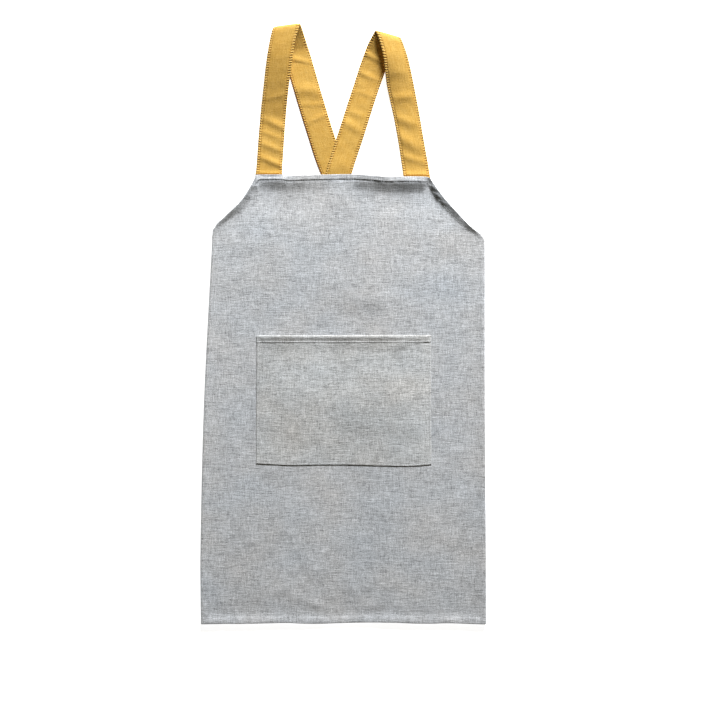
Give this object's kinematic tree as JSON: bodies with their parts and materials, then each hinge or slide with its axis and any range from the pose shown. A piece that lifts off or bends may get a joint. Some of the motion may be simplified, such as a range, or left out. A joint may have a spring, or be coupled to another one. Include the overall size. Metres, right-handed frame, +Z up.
{
  "type": "canvas apron",
  "caption": "Cross-back canvas apron lying flat, with a curved-armhole bib, a wide front patch pocket, wings folded behind and shoulder straps that cross at the back.",
  "frame": {"origin": "middle of the apron's plan, on the surface that it lies on", "axes": "+X across the apron, +Y from the hem to the shoulder straps, +Z up, out of the front of the apron"},
  "size_m": [0.5144, 1.082, 0.0245],
  "materials": {
    "canvas": "matte marled grey canvas",
    "pocket_canvas": "matte marled grey canvas",
    "strap_canvas": "matte mustard canvas"
  },
  "bodies": {
    "root": {"body_panel": "canvas", "pocket": "pocket_canvas", "strap_left": "strap_canvas", "strap_right": "strap_canvas"}
  },
  "joints": []
}
